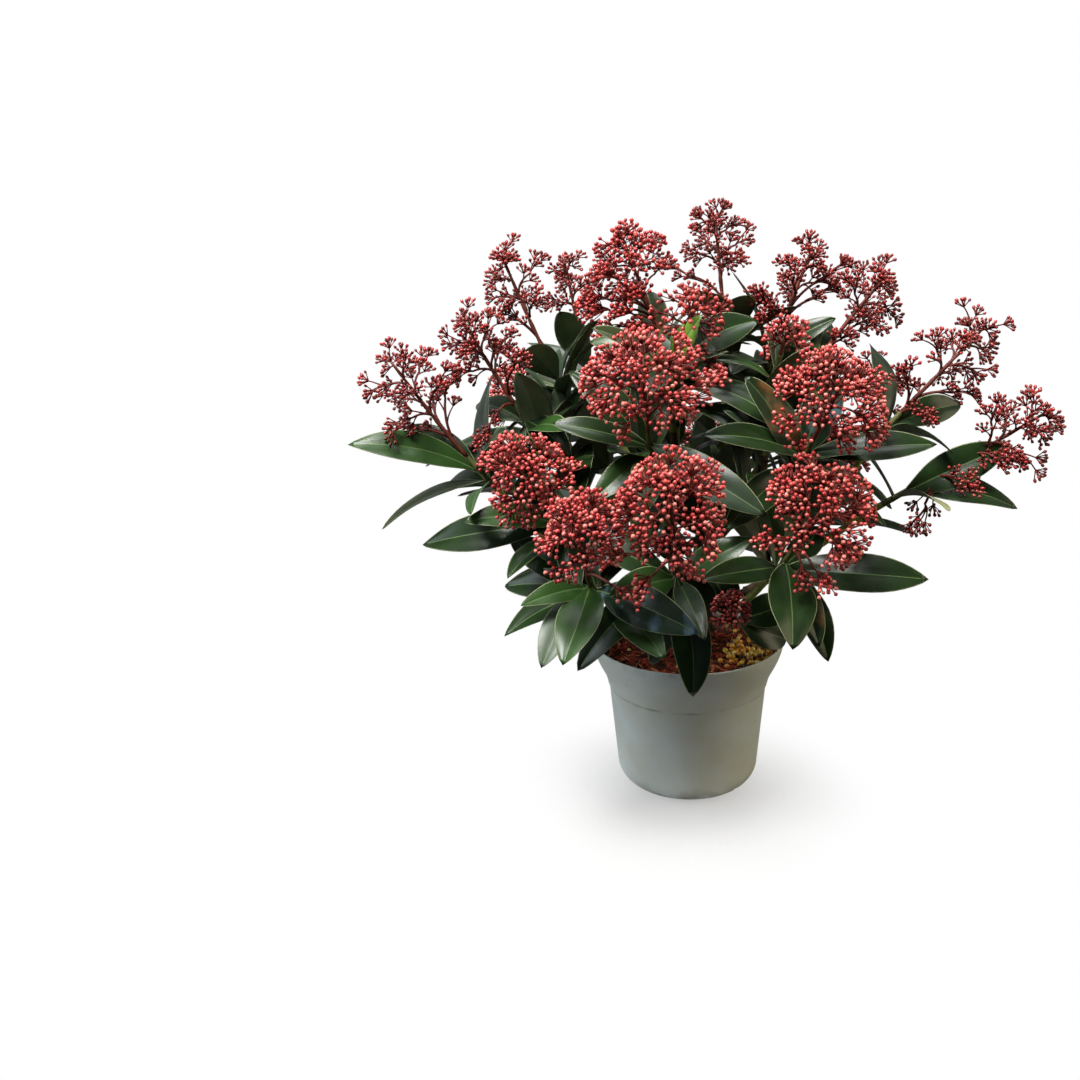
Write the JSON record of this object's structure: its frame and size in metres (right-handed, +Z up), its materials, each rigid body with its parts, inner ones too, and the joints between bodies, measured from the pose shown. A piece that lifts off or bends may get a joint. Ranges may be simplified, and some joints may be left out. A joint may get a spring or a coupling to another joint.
{
  "type": "potted skimmia shrub",
  "caption": "Evergreen flowering shrub with leafy shoots and domed heads of red flower buds, standing in a round nursery pot.",
  "frame": {"origin": "centre of the pot's flat underside, on the surface that the pot stands on", "axes": "+Z up along the pot's axis; -Y is the front, the side with the fullest heads of buds; +X is to the right seen from the front"},
  "size_m": [0.4381, 0.365, 0.383],
  "materials": {
    "pot": "satin",
    "soil": "matte",
    "bark": "matte",
    "foliage": "satin"
  },
  "bodies": {
    "root": {"pot": "pot", "root_ball": "soil", "trunk": "bark", "bough_front_centre": "bark", "bough_centre": "bark", "bough_right_mid": "bark", "bough_front_left": "bark", "bough_left_front": "bark", "bough_right_front": "bark", "bough_far_right": "bark", "bough_right": "bark", "bough_far_left": "bark", "bough_left_mid": "bark", "bough_upper_left": "bark", "bough_upper_left_back": "bark", "bough_tall_left": "bark", "bough_top_front": "bark", "bough_top": "bark", "bough_upper_right": "bark", "bough_upper_right_back": "bark", "bough_mid_right_small": "bark", "bough_low_front": "bark", "bough_back_left": "bark", "bough_back_mid_left": "bark", "bough_back_mid": "bark", "bough_back_right": "bark", "bough_back_far_right": "bark", "bough_low_right": "bark", "bough_low_left": "bark", "shoot_front_centre": "foliage", "shoot_centre": "foliage", "shoot_right_mid": "foliage", "shoot_front_left": "foliage", "shoot_left_front": "foliage", "shoot_right_front": "foliage", "shoot_far_right": "foliage", "shoot_right": "foliage", "shoot_far_left": "foliage", "shoot_left_mid": "foliage", "shoot_upper_left": "foliage", "shoot_upper_left_back": "foliage", "shoot_tall_left": "foliage", "shoot_top_front": "foliage", "shoot_top": "foliage", "shoot_upper_right": "foliage", "shoot_upper_right_back": "foliage", "shoot_mid_right_small": "foliage", "shoot_low_front": "foliage", "shoot_back_left": "foliage", "shoot_back_mid_left": "foliage", "shoot_back_mid": "foliage", "shoot_back_right": "foliage", "shoot_back_far_right": "foliage", "shoot_low_right": "foliage", "shoot_low_left": "foliage"}
  },
  "joints": []
}
